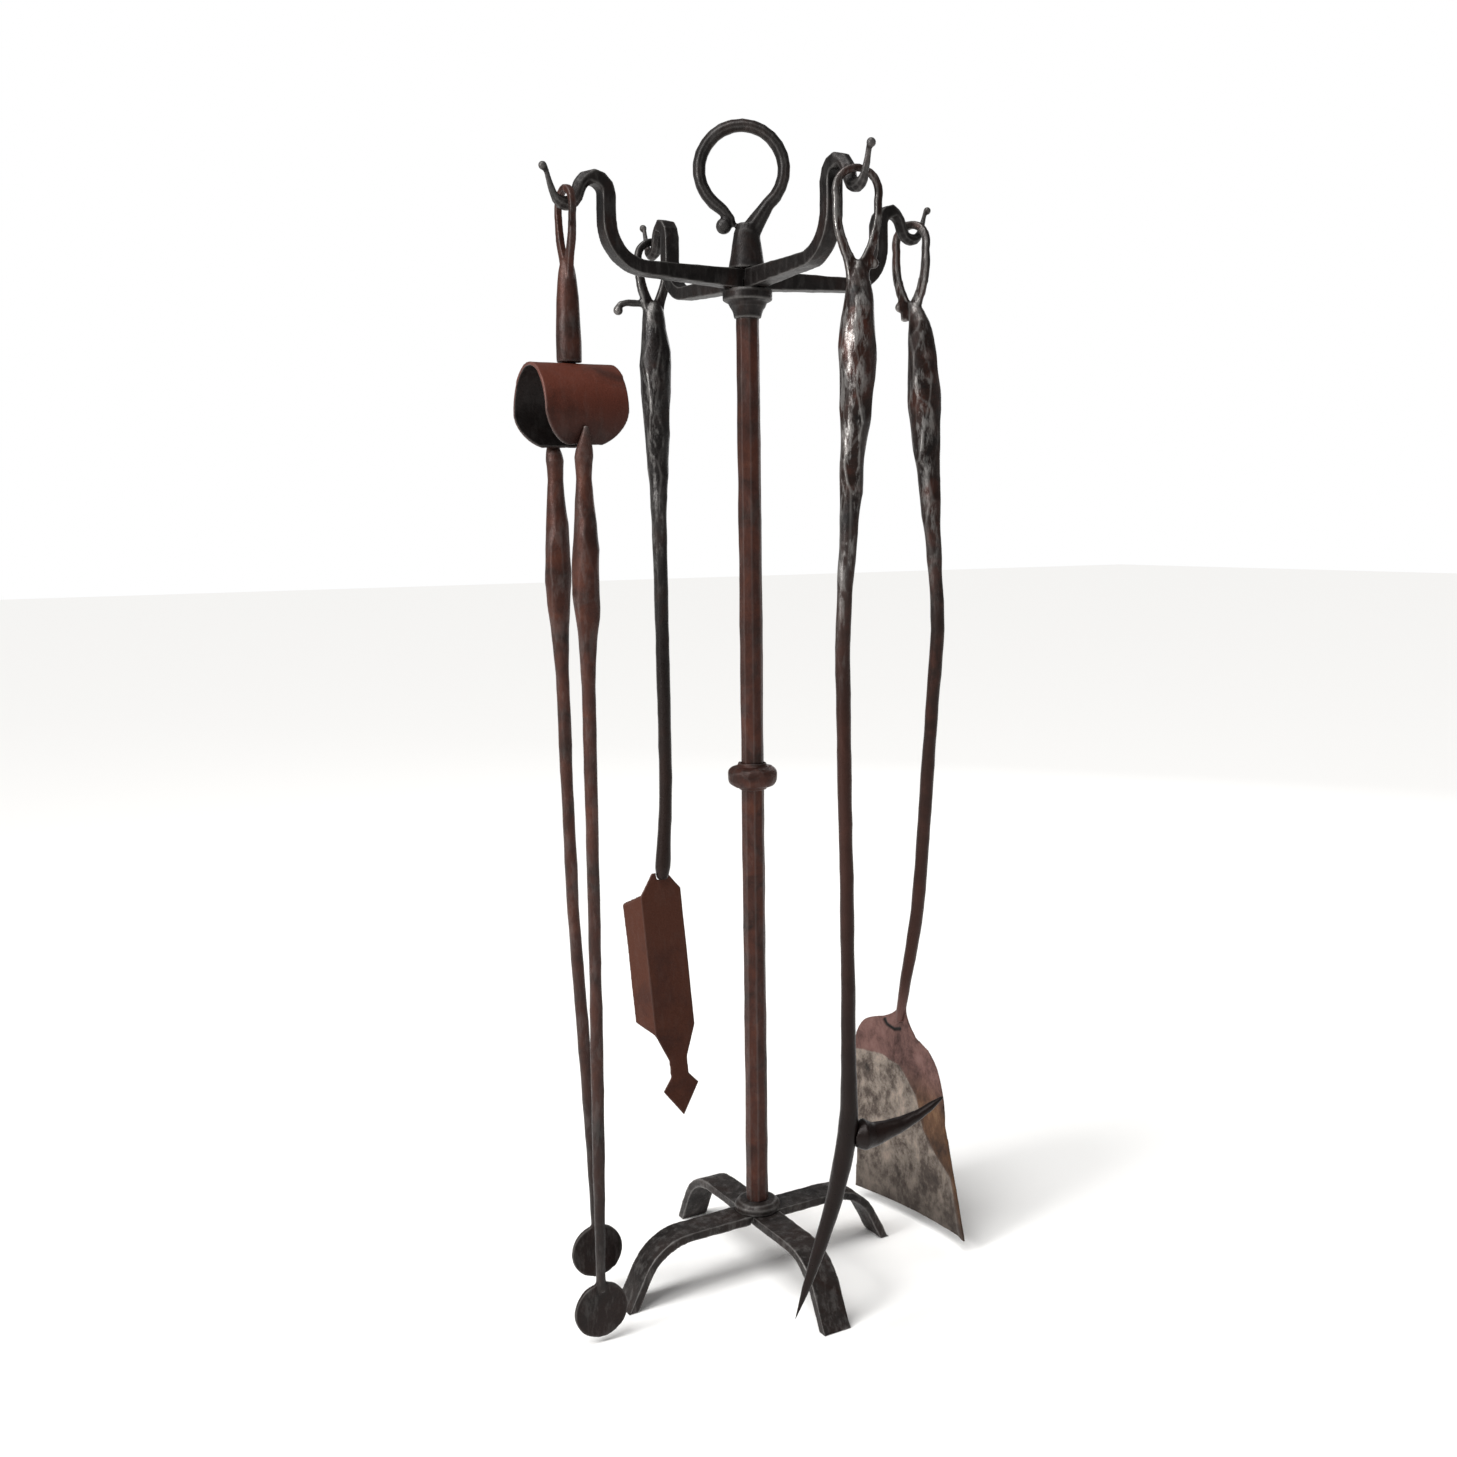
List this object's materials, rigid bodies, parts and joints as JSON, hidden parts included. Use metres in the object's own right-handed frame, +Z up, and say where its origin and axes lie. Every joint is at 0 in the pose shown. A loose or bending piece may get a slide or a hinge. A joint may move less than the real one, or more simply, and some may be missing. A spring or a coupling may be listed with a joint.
{
  "type": "fireplace tool set",
  "caption": "Forged iron stand with a domed crossed base, knopped post, spider of hooked arms and carry ring, holding spring tongs, poker, brush back and ash shovel by their eyes",
  "frame": {"origin": "on the floor on the axis of the post", "axes": "+Z up along the post, +X along the arm that holds the shovel, -Y along the arm that holds the poker"},
  "size_m": [0.3108, 0.3028, 0.8],
  "materials": {
    "grey_black_iron": "oiled forge-black iron with a grey sheen",
    "brown_black_iron": "oiled black iron going brown",
    "red_brown_iron": "red-brown surface rust under old oil",
    "worn_grip_iron": "black iron, the hammered grip worn bright by hands",
    "rusted_sheet": "dark red rusted sheet iron",
    "ashen_sheet": "sheet iron scoured grey by ash, bronze brown at the edges"
  },
  "bodies": {
    "stand": {"base_bar_sides": "grey_black_iron", "base_bar_ends": "grey_black_iron", "foot_collar": "brown_black_iron", "post": "brown_black_iron", "knop": "brown_black_iron", "top_collar": "grey_black_iron", "spider_bar_sides": "grey_black_iron", "spider_bar_ends": "grey_black_iron", "carry_ring": "brown_black_iron"},
    "tongs": {"tongs_hanger": "red_brown_iron", "tongs_bow": "red_brown_iron"},
    "tongs_front": {"tongs_arm_front": "red_brown_iron"},
    "tongs_back": {"tongs_arm_back": "red_brown_iron"},
    "brush": {"brush_handle": "brown_black_iron", "brush_back": "rusted_sheet"},
    "poker": {"poker_shaft": "worn_grip_iron", "poker_hook": "brown_black_iron"},
    "shovel": {"shovel_handle": "worn_grip_iron", "shovel_blade": "ashen_sheet"}
  },
  "joints": [
    {"name": "tongs_lift", "type": "slide", "parent": "stand", "child": "tongs", "axis": [-0.3907, 0, 0.9205], "range_m": [0, 0.11]},
    {"name": "brush_lift", "type": "slide", "parent": "stand", "child": "brush", "axis": [0, 0.3907, 0.9205], "range_m": [0, 0.11]},
    {"name": "poker_lift", "type": "slide", "parent": "stand", "child": "poker", "axis": [0, -0.3907, 0.9205], "range_m": [0, 0.11]},
    {"name": "shovel_lift", "type": "slide", "parent": "stand", "child": "shovel", "axis": [0.3907, 0, 0.9205], "range_m": [0, 0.11]},
    {"name": "tongs_front_squeeze", "type": "hinge", "parent": "tongs", "child": "tongs_front", "pos_m": [-0.13, 0, 0.6065], "axis": [0.9986, -0.0523, 0], "range_deg": [0, 2.4], "stiffness_Nm_per_rad": 50},
    {"name": "tongs_back_squeeze", "type": "hinge", "parent": "tongs", "child": "tongs_back", "pos_m": [-0.13, 0, 0.6065], "axis": [-0.9986, 0.0523, 0], "range_deg": [0, 2.4], "stiffness_Nm_per_rad": 50}
  ],
  "couplings": [
    {"joint": "tongs_back_squeeze", "follows": "tongs_front_squeeze", "ratio": 1}
  ]
}
